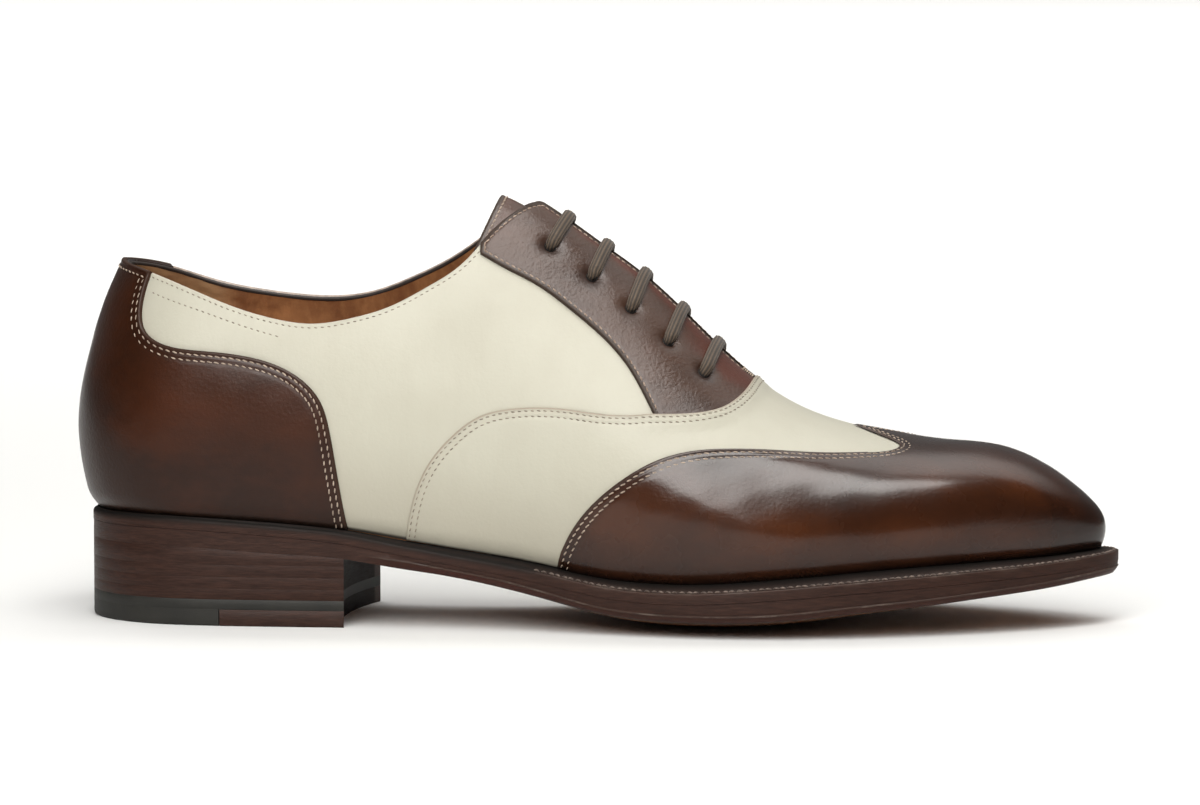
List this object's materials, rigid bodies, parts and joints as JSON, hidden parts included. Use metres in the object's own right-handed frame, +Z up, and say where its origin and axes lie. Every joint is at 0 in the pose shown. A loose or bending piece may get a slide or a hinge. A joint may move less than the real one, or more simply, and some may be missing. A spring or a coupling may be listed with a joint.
{
  "type": "wingtip oxford shoe",
  "caption": "Right-foot two-tone wingtip oxford dress shoe with a low collar, closed lacing, a leather welt and sole and a low stacked heel, standing empty.",
  "frame": {"origin": "on the floor, under the middle of the shoe's length and width", "axes": "+X towards the toe, +Y towards the inner (medial) side of the right foot, +Z up"},
  "size_m": [0.3041, 0.1, 0.1234],
  "materials": {
    "brown_calf": "glossy burnished calf",
    "cream_calf": "satin calf",
    "tan_lining": "matt lining leather",
    "sole_edge_leather": "dark dressed sole edge",
    "top_piece_rubber": "matt rubber",
    "waxed_lace": "waxed cotton cord"
  },
  "bodies": {
    "root": {"outsole": "sole_edge_leather", "welt": "sole_edge_leather", "insole": "tan_lining", "heel_stack": "sole_edge_leather", "top_lift_leather": "sole_edge_leather", "top_lift_rubber": "top_piece_rubber", "upper": "cream_calf", "heel_counter": "brown_calf", "toe_wing": "brown_calf", "facing_lateral": "brown_calf", "facing_medial": "brown_calf", "tongue": "brown_calf", "lace_bar_1": "waxed_lace", "lace_bar_2": "waxed_lace", "lace_bar_3": "waxed_lace", "lace_bar_4": "waxed_lace", "lace_bar_5": "waxed_lace"}
  },
  "joints": []
}
